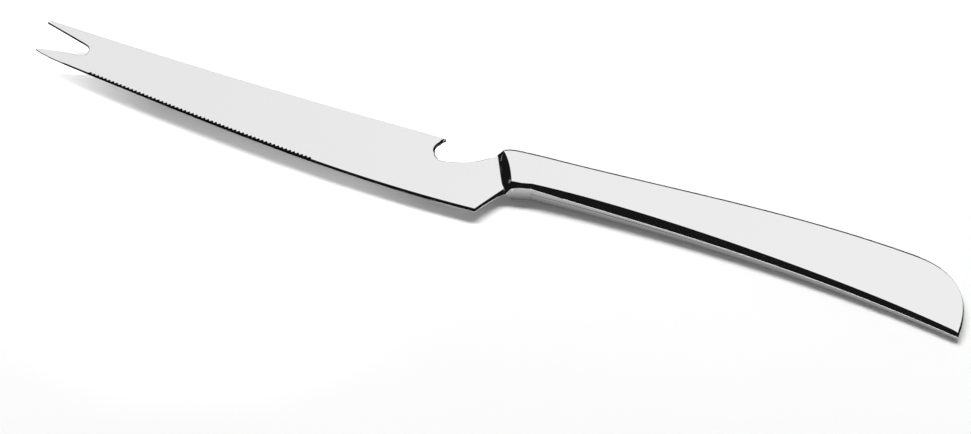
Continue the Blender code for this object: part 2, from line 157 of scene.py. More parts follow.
world = bpy.data.worlds.new("white_room")
scene.world = world
world.use_nodes = True
room = world.node_tree
room.nodes.clear()
path = node(room, "ShaderNodeLightPath")
seen = node(room, "ShaderNodeMath", {0: path.outputs["Is Camera Ray"], 1: path.outputs["Is Glossy Ray"]},
            operation="MAXIMUM")
shown = node(room, "ShaderNodeMath", {0: seen.outputs[0], 1: path.outputs["Is Transmission Ray"]},
             operation="MAXIMUM")
first = node(room, "ShaderNodeMath", {0: path.outputs["Diffuse Depth"], 1: 0.5}, operation="LESS_THAN")
bright = node(room, "ShaderNodeMath", {0: shown.outputs[0], 1: first.outputs[0]}, operation="MULTIPLY")
level = node(room, "ShaderNodeMapRange", {"Value": bright.outputs[0], "To Min": ROOM_FILL, "To Max": 1.0})
white = node(room, "ShaderNodeBackground", {"Color": linear("#FFFFFF"), "Strength": level.outputs[0]})
node(room, "ShaderNodeOutputWorld", {"Surface": white.outputs[0]})
print("room fill", ROOM_FILL)

# %% Lamps
OVERHEAD_DISTANCE, OVERHEAD_ELEVATION, OVERHEAD_WATTS = 1.1, 65, 13.6
OVERHEAD_LENGTH, OVERHEAD_WIDTH = 1.2, 0.2
SPOT_DISTANCE, SPOT_BLEND = 0.6, 0.3
SPOT_SOFT, NOTCH_SPOT_SOFT = 0.02, 0.003


def lamp(name, kind, place, aim, watts):
    """A lamp that is kept out of reflections."""
    made = link(name, bpy.data.lights.new(name, kind))
    made.location = place
    made.rotation_euler = (made.location - Vector(aim)).to_track_quat("Z", "Y").to_euler()
    made.data.energy = watts
    made.visible_glossy = False
    return made


def spot(name, aim, width, watts, soft=SPOT_SOFT):
    """A spot beside the lens that lights a round patch of the floor, with its own shadow out of sight."""
    place = Vector(aim) + SPOT_DISTANCE * direction(VIEW_AZIMUTH, VIEW_ELEVATION)
    made = lamp(name, "SPOT", place, aim, watts)
    made.data.spot_size = 2 * math.atan(width / 2 / SPOT_DISTANCE)
    made.data.spot_blend = SPOT_BLEND
    made.data.shadow_soft_size = soft


overhead_place = OVERHEAD_DISTANCE * direction(VIEW_AZIMUTH + 180, OVERHEAD_ELEVATION)
overhead = lamp("overhead_lamp", "AREA", overhead_place, (0.0, 0.0, 0.0), OVERHEAD_WATTS)
overhead.data.shape = "RECTANGLE"
overhead.data.size, overhead.data.size_y = OVERHEAD_LENGTH, OVERHEAD_WIDTH
spot("blade_spot", (-0.072, 0.0, 0.0), 0.135, 5.5)
spot("notch_spot", (-0.0125, 0.004, 0.0), 0.013, 22.0, NOTCH_SPOT_SOFT)
spot("fork_spot", (-0.130, 0.0, 0.0), 0.056, 14.0)
print("lamps:", [o.name for o in scene.objects if o.type == "LIGHT"])

# %% [markdown]
# ## Floor and black cards
# The floor is matt white paper, which keeps the shadow. Photographers give polished steel its
# drawing with black cards: each bevel mirrors one of them and turns black, while the flats mirror
# the white room. Most cards are patches of a large ball round the knife. One lies on the floor beside
# the blade. Small ones stand close by, where a patch of the ball would darken more than one facet:
# three in the notch, one round the butt and one before the neck. All are hidden from the camera and
# from the lamps, so they only ever show as reflections.

# %% Floor
FLOOR_RADIUS = 4.0
FLOOR_SIDES = 64
PAPER_MOTTLE_MM = 48
PAPER_TONES = 0.93, 0.97

# Uncoated paper scatters light evenly, so the shadow on it looks soft and has no gloss. Its fibres are
# far too fine to show from here and are drawn coarser, as a faint mottle. The noise counts its repeats
# over the whole sheet.
paper, tree = new_material("matt_white_paper")
grain = node(tree, "ShaderNodeTexNoise", {"Scale": 2 * FLOOR_RADIUS / (PAPER_MOTTLE_MM * MM), "Detail": 3.0})
tone = node(tree, "ShaderNodeMapRange", {"Value": grain.outputs[0], "To Min": PAPER_TONES[0],
                                         "To Max": PAPER_TONES[1]})
matt = node(tree, "ShaderNodeBsdfDiffuse", {"Color": tone.outputs[0]})
node(tree, "ShaderNodeOutputMaterial", {"Surface": matt.outputs[0]})

bm = bmesh.new()
bmesh.ops.create_circle(bm, cap_ends=True, segments=FLOOR_SIDES, radius=FLOOR_RADIUS)
floor = link("floor", bpy.data.meshes.new("floor"))
bm.to_mesh(floor.data)
bm.free()
floor.data.materials.append(paper)
print("floor", 2 * FLOOR_RADIUS, "m across")

# %% Black cards
CARD_DISTANCE = 1.6
CARD_STEP, CARD_ROWS = 5.0, 6
FLOOR_CARD_CENTRE = Vector((0.004, 0.003, 0.0001))
NAP_MM = 20
CARD_TONES = 0.006, 0.012

# Flocked card gives back about a hundredth of the light, so a bevel that mirrors it turns black, but
# not quite to nothing. Its nap is too fine to show, so it is drawn far coarser than life.
card_cloth, tree = new_material("black_card")
place = node(tree, "ShaderNodeTexCoord")
nap = node(tree, "ShaderNodeTexNoise", {"Vector": place.outputs["Object"], "Scale": 1 / (NAP_MM * MM)})
dark = node(tree, "ShaderNodeMapRange", {"Value": nap.outputs[0], "To Min": CARD_TONES[0],
                                         "To Max": CARD_TONES[1]})
matt = node(tree, "ShaderNodeEmission", {"Color": linear("#FFFFFF"), "Strength": dark.outputs[0]})
node(tree, "ShaderNodeOutputMaterial", {"Surface": matt.outputs[0]})


def on_ball(azimuth, elevation):
    return CARD_DISTANCE * direction(azimuth, elevation)


def on_floor(azimuth, reach):
    return FLOOR_CARD_CENTRE + reach * direction(azimuth, 0.0)


def standing_round(x, y, radius):
    """Gives the function that places a card which stands on the floor, bent round a middle."""
    def place(azimuth, height):
        return Vector((x, y, height)) + radius * direction(azimuth, 0.0)
    return place


def black_card(name, turn, levels, place=on_ball):
    """A card seen only in reflections. Turn is its range of azimuth from the camera's, to the right.

    Levels is the range of what its place takes next: elevation in degrees, or reach or height in metres.
    """
    columns = math.ceil((turn[1] - turn[0]) / CARD_STEP)
    points = [place(VIEW_AZIMUTH + turn[0] + (turn[1] - turn[0]) * i / columns,
                    levels[0] + (levels[1] - levels[0]) * j / CARD_ROWS)
              for j in range(CARD_ROWS + 1) for i in range(columns + 1)]
    faces = [(k, k + 1, k + columns + 2, k + columns + 1)
             for j in range(CARD_ROWS) for k in range(j * (columns + 1), j * (columns + 1) + columns)]
    card = link(name, bpy.data.meshes.new(name))
    card.data.from_pydata(points, [], faces)
    card.data.materials.append(card_cloth)
    card.visible_camera = card.visible_diffuse = card.visible_shadow = False


in_notch = standing_round(-0.0115, 0.0027, radius=0.0022)
round_butt = standing_round(0.105, 0.0, radius=0.030)
before_neck = standing_round(0.006, -0.0033, radius=0.014)
black_card("card_round_camera", (-80, 66), (26, 58))
black_card("card_right", (50, 126), (4, 50))
black_card("card_above_camera", (-100, -5), (48, 80))
black_card("card_under_camera", (-58, -22), (0, 27))
black_card("card_left", (-152, -58), (-2, 28))
black_card("card_far_side", (155, 186), (-2, 26))
black_card("card_on_floor", (-152, -58), (0.008, CARD_DISTANCE), on_floor)
black_card("card_in_hook", (-170, -80), (0.0, 0.0034), in_notch)
black_card("card_at_notch_floor", (-80, -20), (0.0, 0.0044), in_notch)
black_card("card_under_beak", (-215, -170), (0.0, 0.0044), in_notch)
black_card("card_round_butt", (70, 185), (0.0, 0.012), round_butt)
black_card("card_before_neck", (-30, 60), (0.0, 0.011), before_neck)
print("cards:", [o.name for o in scene.objects if o.name.startswith("card_")])

# %% [markdown]
# ## Drawing the knife in plan
# The knife is a flat thing, so it is drawn as a smith would scribe it on sheet: an outline of
# curves, in millimetres, with x from the fork to the butt, y towards the spine and z from the middle
# plane. Every stretch of the outline then gets its own section: how far the flat is set in from the
# wall, and how far it drops to it. A Bezier curve with few pull points describes each stretch.

# %% Curves
def bezier(points, t):
    points = [Vector(p) for p in points]
    while len(points) > 1:
        points = [a.lerp(b, t) for a, b in zip(points, points[1:])]
    return points[0]


def sample(points, count):
    return [bezier(points, i / count) for i in range(count + 1)]


def pulled(start, pulls, end):
    """A curve whose pull heights stand at even steps in x, so that x runs evenly along it."""
    inner = [(start[0] + (end[0] - start[0]) * (i + 1) / (len(pulls) + 1), y)
             for i, y in enumerate(pulls)]
    return [start, *inner, end]


def height_at(curve, x):
    return bezier(curve, (x - curve[0][0]) / (curve[-1][0] - curve[0][0])).y


def left_normal(before, after):
    step = Vector(after) - Vector(before)
    return Vector((-step.y, step.x)).normalized()


print("middle of a quarter turn:", [round(c, 3) for c in bezier([(1, 0), (1, 1), (0, 1)], 0.5)])

# %% Sizes of the blade and handle in millimetres
BLADE_LENGTH = 121.2
BEAK_X = BLADE_LENGTH - 14.1
FOOT_X = BLADE_LENGTH + 1.5
MOUTH_X = BLADE_LENGTH + 10.8
BUTT_X = MOUTH_X + 108.0
SHOULDER_X = BUTT_X - 16.0
MOUTH_THICKNESS, BUTT_THICKNESS = 6.0, 2.6
HALF_TAPER = (MOUTH_THICKNESS - BUTT_THICKNESS) / 2 / (BUTT_X - MOUTH_X)
TINE_LENGTH = 9.5
SPINE = pulled((0.7, 5.8), [3.54], (BEAK_X, 4.6))
EDGE = pulled((TINE_LENGTH, -6.0), [-10.2, -15.2], (BLADE_LENGTH, -13.5))
FAR_SIDE = pulled((MOUTH_X, 6.2), [7.7, 12.0], (SHOULDER_X, 9.9))
NEAR_SIDE = pulled((MOUTH_X, -3.83), [-2.7, -3.3], (BUTT_X, -9.3))
BUTT = [(BUTT_X, -9.3), (BUTT_X + 0.4, 1.5), (BUTT_X - 4.1, 8.9), (SHOULDER_X, 9.9)]
print("knife", BUTT_X, "mm, tapering", round(math.degrees(math.atan(HALF_TAPER)), 2), "degrees a side")

# %% [markdown]
# ## Thickness
# The blade is a flat plate that thins towards the fork and towards the cutting edge. The handle is
# a wedge, thick at the bolster and thin at the butt. Between them a slanted ramp climbs from the
# blade's flat to the handle's. Its foot curls back at the cutting side and its crest is bowed.

# %% Plate, wedge and ramp
NECK_HALF, TIP_HALF, HEEL_HALF = 0.68, 0.30, 0.42
RAMP_SLANT = math.radians(25.5)
RAMP_RUN, RAMP_RUN_FAR = 2.3, 1.4
CREST_FULLNESS, CREST_BOW = 0.75, 0.8
FOOT_CURL, FOOT_PULL_SHARES = 0.5, (0.1, 0.5)
HALVINGS, TINY_STEP = 40, 0.001


def plate_half(p):
    along = (NECK_HALF - TIP_HALF) / FOOT_X
    across = (NECK_HALF - HEEL_HALF) / -EDGE[-1][1]
    return TIP_HALF + along * p.x + across * p.y


def handle_half(p):
    return MOUTH_THICKNESS / 2 - HALF_TAPER * (p.x - MOUTH_X)


def past_foot(p):
    """Distance behind the slanted line where the ramp rises from the blade's flat."""
    return (p.x - FOOT_X) * math.cos(RAMP_SLANT) + p.y * math.sin(RAMP_SLANT)


def flat_half(p):
    return plate_half(p) if past_foot(p) < RAMP_RUN_FAR / 2 else handle_half(p)


def crossing(curve, inset, behind):
    """The share of a curve at which, moved in by inset, it lies so far behind the ramp's foot."""
    def set_in(t):
        before, after = bezier(curve, t - TINY_STEP), bezier(curve, t + TINY_STEP)
        return bezier(curve, t) + inset * left_normal(before, after)

    low, high = 0.0, 1.0
    rising = past_foot(set_in(high)) > past_foot(set_in(low))
    for _ in range(HALVINGS):
        middle = (low + high) / 2
        if (past_foot(set_in(middle)) > behind) == rising:
            high = middle
        else:
            low = middle
    return low, set_in(low)


print("plate at the neck", round(2 * plate_half(Vector((FOOT_X, 0))), 2), "mm thick")

# %% [markdown]
# ## Columns and rounded sections
# One upright line of the outline is a column: its place in plan and its section. A section has four
# corners, from the upper flat over the wall to the lower flat. A bevel modifier could round them,
# but it fails where teeth crowd together, so each corner is rounded here with a short curve that
# takes at most a set share of the sides that meet there. That keeps every section sound.

# %% A column's section
Column = namedtuple("Column", "place inset drop under setback normal soft flat")
ROUND_STEPS = 3
ROUND_SHARE = 0.45


def column(place, inset, drop, under=None, setback=0.0, normal=None, soft=0.12, flat=None):
    """Soft is the rounding's reach. Flat gives the upper flat's edge as a point where it is known."""
    return Column(Vector(place), inset, drop, under or (inset, drop), setback, normal, soft, flat)


def rounded(before, corner, after, reach):
    """Points of a short curve that takes a corner off."""
    back, on = before - corner, after - corner
    start = corner + back.normalized() * min(reach, ROUND_SHARE * back.length)
    end = corner + on.normalized() * min(reach, ROUND_SHARE * on.length)
    return sample([start, corner, end], ROUND_STEPS)


print(4 * (ROUND_STEPS + 1), "points in a section")

# %% Inward steps of an outline
MITRE_LIMIT = 0.6


def inward_steps(columns):
    """Inward unit steps of a counter-clockwise outline, lengthened a little at its corners."""
    steps = []
    for before, here, after in zip([columns[-1], *columns], columns, [*columns[1:], columns[0]]):
        first = left_normal(before.place, here.place)
        middle = (first + left_normal(here.place, after.place)).normalized()
        steps.append(Vector(here.normal) if here.normal else middle / max(MITRE_LIMIT, middle.dot(first)))
    return steps


def section(col, inward):
    """A column's rounded section, from the upper flat over the wall to the lower flat."""
    wall = col.place + inward * col.setback
    if col.flat:
        flat, inner = col.flat
        lower, lower_inner = (Vector((p.x, p.y, -p.z)) for p in col.flat)
    else:
        def on_flat(distance, sign):
            p = col.place + inward * distance
            return Vector((p.x, p.y, sign * flat_half(p)))
        flat, inner = on_flat(col.inset, 1), on_flat(col.inset + 1, 1)
        lower, lower_inner = on_flat(col.under[0], -1), on_flat(col.under[0] + 1, -1)
    ridge = Vector((wall.x, wall.y, flat.z - col.drop))
    lower_ridge = Vector((wall.x, wall.y, lower.z + col.under[1]))
    line = [inner, flat, ridge, lower_ridge, lower, lower_inner]
    return [point for i in range(1, 5) for point in rounded(*line[i - 1:i + 2], col.soft)]


square = [column(p, 0, 0) for p in ((0, 0), (1, 0), (1, 1), (0, 1))]
print("first step of a unit square:", inward_steps(square)[0])

# %% [markdown]
# ## The cutting edge
# From behind the fork 58 small gaps are ground into the upper side of the edge. Each is a leaning
# triangle that reaches into the flat. Behind them the edge is plain, with a broad bevel above and a
# narrow one below.
# The gaps could be cut with 58 Boolean wedges; moving the section's corners in and out along the
# edge gives the same facets with far fewer faces.

# %% Edge columns
TOOTH_PITCH, TOOTH_COUNT, TEETH_START = 1.07, 58, 16.3
TOOTH_REACH, TOOTH_SETBACK = 0.55, 0.06
TOOTH_APEX = 0.58
TOOTH_SHARES = (0.0, 0.2, 0.4, 0.53, 0.63, 0.8)
EDGE_LAND, UNDER_BEVEL = 0.10, 0.05
UPPER_BEVEL, BEVEL_LEAN = 1.25, 1.15
EDGE_SOFT = 0.03
EDGE_STEPS = 24


def edge_place(x):
    return Vector((x, height_at(EDGE, x)))


def plain_edge(x):
    half = plate_half(edge_place(x))
    drop = UPPER_BEVEL * half
    under = 2 * half - EDGE_LAND - drop
    return column(edge_place(x), BEVEL_LEAN * drop, drop, (under, under), soft=EDGE_SOFT)


def toothed_edge(x, gap):
    """Gap runs from 0 on a tooth to 1 where the gap reaches furthest into the flat."""
    drop = 2 * plate_half(edge_place(x)) - EDGE_LAND - UNDER_BEVEL
    return column(edge_place(x), drop + TOOTH_REACH * gap, drop, (UNDER_BEVEL, UNDER_BEVEL),
                  TOOTH_SETBACK * gap, soft=EDGE_SOFT)


def gap_at(share):
    return share / TOOTH_APEX if share < TOOTH_APEX else (1 - share) / (1 - TOOTH_APEX)


teeth_end = TEETH_START + TOOTH_PITCH * TOOTH_COUNT
plain_start = teeth_end + TOOTH_PITCH
edge = [plain_edge(TINE_LENGTH + (TEETH_START - TINE_LENGTH) * i / EDGE_STEPS) for i in range(EDGE_STEPS)]
edge += [toothed_edge(TEETH_START + TOOTH_PITCH * (i + share), gap_at(share))
         for i in range(TOOTH_COUNT) for share in TOOTH_SHARES]
edge.append(toothed_edge(teeth_end, 0.0))
plain_end = BLADE_LENGTH - 2 * EDGE_LAND
edge += [plain_edge(plain_start + (plain_end - plain_start) * i / EDGE_STEPS) for i in range(EDGE_STEPS + 1)]
print(TOOTH_COUNT, "gaps over", round(teeth_end - TEETH_START, 1), "mm,", len(edge), "columns")

# %% [markdown]
# ## Heel, ramp and bolster
# The back of the blade climbs from the sharp heel to the handle's mouth. Its chamfer widens up to the
# ramp and runs on into the handle's bevel, deep above and slighter below. The ramp is a small grid:
# rows climb from foot to crest, and each row's two ends are columns of the outline, so that the whole
# blade stays one closed skin.

# %% Rows of the ramp
RAMP_ROUND = 0.06
RAMP_ROWS = [-RAMP_ROUND, -RAMP_ROUND / 3, RAMP_ROUND / 3, RAMP_ROUND, 0.25, 0.5, 0.75,
             1 - RAMP_ROUND, 1 - RAMP_ROUND / 3, 1 + RAMP_ROUND / 3, 1 + RAMP_ROUND]
RAMP_STEPS = 16
HEEL_PULLS = Vector((1.4, 3.4)), Vector((5.5, 8.6)), Vector((3.7, 7.7))
NECK_CHAMFER, NECK_DROP, NECK_UNDER, HEEL_DROP = 1.25, 0.78, 0.12, 0.46
CREST_BEVEL, MOUTH_BEVEL, NEAR_STEEP, NEAR_UNDER = 1.28, 0.95, 1.04, 0.6
FAR_BEVEL, FAR_DROP, NOTCH_CHAMFER = 0.55, 0.20, 0.4
SHOULDER = (BLADE_LENGTH - 0.6, 4.3)
CORNER_PULLS = Vector((3.0, 1.2)), Vector((2.0, 1.5)), Vector((2.0, -0.2)), Vector((1.0, -0.1))
HOOK, HOOK_RADIUS, HOOK_SWEEP = Vector((BEAK_X + 1.3, 1.0)), 2.8, 130
FLOOR_START = (HOOK.x, HOOK.y - HOOK_RADIUS)
CORNER = [FAR_SIDE[0], *(Vector(SHOULDER) + pull for pull in CORNER_PULLS), SHOULDER]
NOTCH_FLOOR = [SHOULDER, (SHOULDER[0] - 4.3, FLOOR_START[1] + 1.2), FLOOR_START]
HEEL_BACK = [EDGE[-1], *(Vector(EDGE[-1]) + pull for pull in HEEL_PULLS), NEAR_SIDE[0]]

heel_foot, near_foot = crossing(HEEL_BACK, NECK_CHAMFER, FOOT_CURL)
heel_top, near_crest = crossing(HEEL_BACK, CREST_BEVEL, RAMP_RUN)
floor_foot, far_foot = crossing(NOTCH_FLOOR, NOTCH_CHAMFER, 0.0)
corner_top, far_crest = crossing(CORNER, FAR_BEVEL, RAMP_RUN_FAR)
behind = Vector((math.cos(RAMP_SLANT), math.sin(RAMP_SLANT)))
straight_foot = near_foot - FOOT_CURL * behind
foot_pulls = [straight_foot.lerp(far_foot, share) for share in FOOT_PULL_SHARES]
FOOT = [near_foot, straight_foot, *foot_pulls, far_foot]
CREST = [near_crest, near_crest + (far_foot - near_foot) * CREST_FULLNESS + CREST_BOW * behind, far_crest]


def ramp_point(share, row):
    """A point of the ramp: share runs along it from the cutting side, row climbs from foot to crest."""
    foot, crest = bezier(FOOT, share), bezier(CREST, share)
    p = foot.lerp(crest, row)
    low, high = plate_half(p), handle_half(p)
    if row < RAMP_ROUND:
        z = low + (high - low) * (row + RAMP_ROUND) ** 2 / (4 * RAMP_ROUND)
    elif row > 1 - RAMP_ROUND:
        z = high - (high - low) * (1 + RAMP_ROUND - row) ** 2 / (4 * RAMP_ROUND)
    else:
        z = low + (high - low) * row
    return Vector((p.x, p.y, z))


print("ramp foot", round((far_foot - near_foot).length, 2), "mm long")

# %% Columns from the heel to the mouth
HEEL_STEPS = 24
BOLSTER_SOFT, NEAR_RAMP_SOFT = 0.08, 0.04
HEEL_FLAT_BACK, HEEL_FLAT_UP = 0.25, 0.75
HEEL_FLAT = Vector((BLADE_LENGTH - HEEL_FLAT_BACK, EDGE[-1][1] + HEEL_FLAT_UP))


def blended(start, end, share):
    return start + (end - start) * min(1.0, max(0.0, share))


def on_plate(p):
    return Vector((p.x, p.y, plate_half(p)))


def heel_column(share):
    """The flat's edge runs straight from the heel to the ramp's foot, while the wall beside it bends."""
    flat = HEEL_FLAT.lerp(near_foot, share)
    inner = flat + left_normal(HEEL_FLAT, near_foot)
    return column(bezier(HEEL_BACK, heel_foot * share), 0.0, blended(HEEL_DROP, NECK_DROP, share),
                  (0.0, NECK_UNDER), soft=EDGE_SOFT, flat=(on_plate(flat), on_plate(inner)))


def near_ramp_column(row):
    t = heel_foot + (heel_top - heel_foot) * row
    drop = blended(NECK_DROP, NEAR_STEEP * CREST_BEVEL, row)
    under = blended(NECK_UNDER, NEAR_UNDER, row)
    return column(bezier(HEEL_BACK, t), 0.0, drop, (0.0, under), soft=NEAR_RAMP_SOFT,
                  flat=(ramp_point(0.0, row), ramp_point(1 / RAMP_STEPS, row)))


heel = [heel_column(i / HEEL_STEPS) for i in range(HEEL_STEPS)]
near_ramp = [near_ramp_column(row) for row in RAMP_ROWS]
bolster_start = heel_top + (heel_top - heel_foot) * 2 * RAMP_ROUND
near_bolster = []
for i in range(HEEL_STEPS + 1):
    share = i / HEEL_STEPS
    bevel = blended(CREST_BEVEL, MOUTH_BEVEL, 2 * share)
    place = bezier(HEEL_BACK, blended(bolster_start, 1.0, share))
    near_bolster.append(column(place, bevel, NEAR_STEEP * bevel, (NEAR_UNDER, NEAR_UNDER), soft=BOLSTER_SOFT))
near_bolster[-1] = near_bolster[-1]._replace(normal=(0.0, 1.0))
print("heel and bolster:", len(heel + near_ramp + near_bolster), "columns")

# %% [markdown]
# ## Cap-lifter notch and spine
# The notch is bitten out of the spine in front of the bolster: a shoulder, a long floor and a round
# hook that ends in a thin beak. Its walls are chamfered, so that the steel does not bite the hand.
# The far ends of the ramp's rows run down the shoulder.

# %% Columns from the mouth to the beak
NOTCH_STEPS = 24
SPINE_CHAMFER, BEAK_THICKNESS = 0.06, 0.15
BEAK_CHAMFERS = {0.5: 0.55, 0.85: 0.3, 1.0: SPINE_CHAMFER}  # at shares of the way to the beak's tip
FAR_SOFT, NOTCH_SOFT = 0.08, 0.06

shoulder_run = (Vector(SHOULDER) - bezier(CORNER, corner_top)).length
floor_run = (bezier(NOTCH_FLOOR, floor_foot) - Vector(SHOULDER)).length


def shoulder_place(row):
    """The wall beside the ramp: from the crest over the shoulder to the foot in the notch."""
    gone = (1 - row) * (shoulder_run + floor_run)
    if gone < shoulder_run:
        return bezier(CORNER, corner_top + (1 - corner_top) * gone / shoulder_run)
    return bezier(NOTCH_FLOOR, floor_foot * (gone - shoulder_run) / floor_run)


def far_ramp_column(row):
    drop = blended(NOTCH_CHAMFER, FAR_DROP, row)
    return column(shoulder_place(row), 0.0, drop, soft=BOLSTER_SOFT,
                  flat=(ramp_point(1.0, row), ramp_point(1 - 1 / RAMP_STEPS, row)))


far_bolster_end = corner_top * (1 - 2 * RAMP_ROUND)
far_bolster = [column(bezier(CORNER, far_bolster_end * i / NOTCH_STEPS), FAR_BEVEL, FAR_DROP, soft=FAR_SOFT)
               for i in range(NOTCH_STEPS + 1)]
far_bolster[0] = far_bolster[0]._replace(normal=(0.0, -1.0))
far_ramp = [far_ramp_column(row) for row in reversed(RAMP_ROWS)]
floor_begin = floor_foot * (1 + 2 * RAMP_ROUND * (shoulder_run + floor_run) / floor_run)
notch_places = [bezier(NOTCH_FLOOR, blended(floor_begin, 1.0, i / NOTCH_STEPS)) for i in range(NOTCH_STEPS)]
for i in range(NOTCH_STEPS + 1):
    turn = math.radians(270 - HOOK_SWEEP * i / NOTCH_STEPS)
    notch_places.append(HOOK + HOOK_RADIUS * Vector((math.cos(turn), math.sin(turn))))
notch = [column(p, NOTCH_CHAMFER, NOTCH_CHAMFER, soft=NOTCH_SOFT) for p in notch_places]
hook_end, beak_tip = notch_places[-1], Vector((BEAK_X, SPINE[-1][1] - BEAK_THICKNESS))
for share, chamfer in BEAK_CHAMFERS.items():
    notch.append(column(hook_end.lerp(beak_tip, share), chamfer, chamfer, soft=EDGE_SOFT))
spine = [column(p, SPINE_CHAMFER, SPINE_CHAMFER, soft=EDGE_SOFT)
         for p in reversed(sample(SPINE, NOTCH_STEPS))]
print("notch and spine:", len(far_bolster + far_ramp + notch + spine), "columns")

# %% [markdown]
# ## The fork
# Two tines pick up a slice of fruit. A round root joins them, the upper tine is straight and the
# lower one bows. The chamfer along the gap thins out towards both points, because there is hardly
# any steel left there to chamfer.

# %% Fork columns
FORK_ROOT, FORK_ROOT_RADIUS = Vector((11.62, -0.3)), 1.88
UPPER_TIP, LOWER_TIP, TIP_WIDTH = Vector((0.0, 4.9)), Vector((0.8, -3.9)), 0.4
FORK_STEPS = 20
FORK_CHAMFER, TIP_CHAMFER, TIP_FADE = 0.20, 0.12, 8.0


def fork_column(place):
    chamfer = blended(TIP_CHAMFER, FORK_CHAMFER, place[0] / TIP_FADE)
    return column(place, chamfer, chamfer, soft=EDGE_SOFT)


away = UPPER_TIP - FORK_ROOT
root_start = math.atan2(away.y, away.x) - math.acos(FORK_ROOT_RADIUS / away.length)
root_turns = [root_start + (-math.pi / 2 - root_start) * i / FORK_STEPS for i in range(FORK_STEPS + 1)]
root = [FORK_ROOT + FORK_ROOT_RADIUS * Vector((math.cos(a), math.sin(a))) for a in root_turns]
straight = [UPPER_TIP.lerp(root[0], i / FORK_STEPS) for i in range(FORK_STEPS)]
inner_tip, outer_tip = LOWER_TIP + Vector((0, TIP_WIDTH / 2)), LOWER_TIP - Vector((0, TIP_WIDTH / 2))
bowed = [root[-1], ((root[-1].x + inner_tip.x) / 2, root[-1].y), inner_tip]
third, two_thirds = (outer_tip.lerp(Vector(EDGE[0]), share) for share in (1 / 3, 2 / 3))
outer = [outer_tip, (third.x, two_thirds.y), EDGE[0]]
fork_places = [Vector((TIP_WIDTH / 2, UPPER_TIP.y + TIP_WIDTH)), *straight, *root,
               *sample(bowed, FORK_STEPS)[1:], *sample(outer, FORK_STEPS)[:-1]]
fork = [fork_column(p) for p in fork_places]
print("fork:", len(fork), "columns, gap", round(UPPER_TIP.y - inner_tip.y, 1), "mm at the points")

# %% [markdown]
# ## Laying the knife down
# The drawing has its own axes, so each mesh is turned onto the handle's lower flat and moved to
# where the solid model lies. The shift is read from the solid blade's box, not typed in.

# %% From the drawing to the frame
EDGE_SAMPLES = 200
SMOOTH_ANGLE = math.radians(35)

blade_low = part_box("blade")[0]
turn = Matrix.Rotation(math.atan(HALF_TAPER), 4, "Y") @ Matrix.Scale(MM, 4)
tip = turn @ Vector((UPPER_TIP.x, UPPER_TIP.y, 0.0))
rest = turn @ Vector((MOUTH_X, 0.0, -MOUTH_THICKNESS / 2))
lowest_edge = min(p.y for p in sample(EDGE, EDGE_SAMPLES)) * MM
LAY = Matrix.Translation((blade_low.x - tip.x, blade_low.y - lowest_edge, -rest.z)) @ turn


def shade_by_angle(mesh):
    mesh.shade_smooth()
    mesh.set_sharp_from_angle(angle=SMOOTH_ANGLE)


def finished(name, bm, node_name, slot, *materials):
    """Makes a mesh an object that stands for a solid, shaded so that flats stay flat."""
    bmesh.ops.recalc_face_normals(bm, faces=bm.faces)
    bmesh.ops.transform(bm, matrix=LAY, verts=bm.verts)
    open_edges = sum(not e.is_manifold for e in bm.edges)
    obj = link(name, bpy.data.meshes.new(name))
    bm.to_mesh(obj.data)
    bm.free()
    for material in materials:
        obj.data.materials.append(material)
    shade_by_angle(obj.data)
    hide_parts(node_name)
    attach(obj, "root")
    print(name, len(obj.data.polygons), "faces,", open_edges, "open edges")
    return obj


print("lifted", round(LAY.translation.z / MM, 2), "mm")

# %% [markdown]
# ## A grey card with a painted shadow before the handle
# The handle's near wall mirrors the strip of paper right before it. On the table that strip lies in
# the handle's own shadow, so the wall is grey, and darkest where it meets the paper. A lamp low enough
# to throw that much shadow would drown the blade's, so a card with a painted shadow, a ramp of grey,
# lies there instead, hidden like the others from all but reflections.

# %% Grey card with a painted shadow
GREY_CARD_DEPTHS = 3.8, 1.8
GREY_NEAR, GREY_FAR, GREY_UNEVEN = 0.07, 0.60, 0.04
GREY_STEPS, GREY_START = 40, 24

# A painted shadow: a ramp from dark grey at the wall to light grey, so the wall that mirrors it looks
# shaded. A faint noise leaves it a little uneven, drawn coarser than life like the black cards' nap.
painted_shadow_cloth, tree = new_material("painted_shadow_card")
reach = node(tree, "ShaderNodeAttribute", attribute_name="reach")
place = node(tree, "ShaderNodeTexCoord")
nap = node(tree, "ShaderNodeTexNoise", {"Vector": place.outputs["Object"], "Scale": 1 / (NAP_MM * MM)})
uneven = node(tree, "ShaderNodeMath", {0: nap.outputs[0], 1: GREY_UNEVEN, 2: reach.outputs["Fac"]},
              operation="MULTIPLY_ADD")
shade = node(tree, "ShaderNodeMapRange", {"Value": uneven.outputs[0], "To Min": GREY_NEAR,
                                          "To Max": GREY_FAR})
matt = node(tree, "ShaderNodeEmission", {"Color": linear("#FFFFFF"), "Strength": shade.outputs[0]})
node(tree, "ShaderNodeOutputMaterial", {"Surface": matt.outputs[0]})

near_line = sample(HEEL_BACK, GREY_STEPS)[GREY_START:-1] + sample(NEAR_SIDE, GREY_STEPS)
points, reaches = [], []
for i, here in enumerate(near_line):
    outward = -left_normal(near_line[max(i - 1, 0)], near_line[min(i + 1, len(near_line) - 1)])
    depth = blended(*GREY_CARD_DEPTHS, (here.x - MOUTH_X) / (BUTT_X - MOUTH_X))
    for reach_share in (0.0, 1.0):
        p = LAY @ Vector((*(here + outward * depth * reach_share), 0.0))
        points.append((p.x, p.y, FLOOR_CARD_CENTRE.z))
        reaches.append(reach_share)
faces = [(k, k + 2, k + 3, k + 1) for k in range(0, len(points) - 2, 2)]
# The card carries the painted shadow and shows only in the handle's reflection.
painted_shadow_card = link("card_before_handle", bpy.data.meshes.new("card_before_handle"))
painted_shadow_card.data.from_pydata(points, [], faces)
painted_shadow_card.data.attributes.new("reach", "FLOAT", "POINT").data.foreach_set("value", reaches)
painted_shadow_card.data.materials.append(painted_shadow_cloth)
painted_shadow_card.visible_camera = painted_shadow_card.visible_diffuse = painted_shadow_card.visible_shadow = False
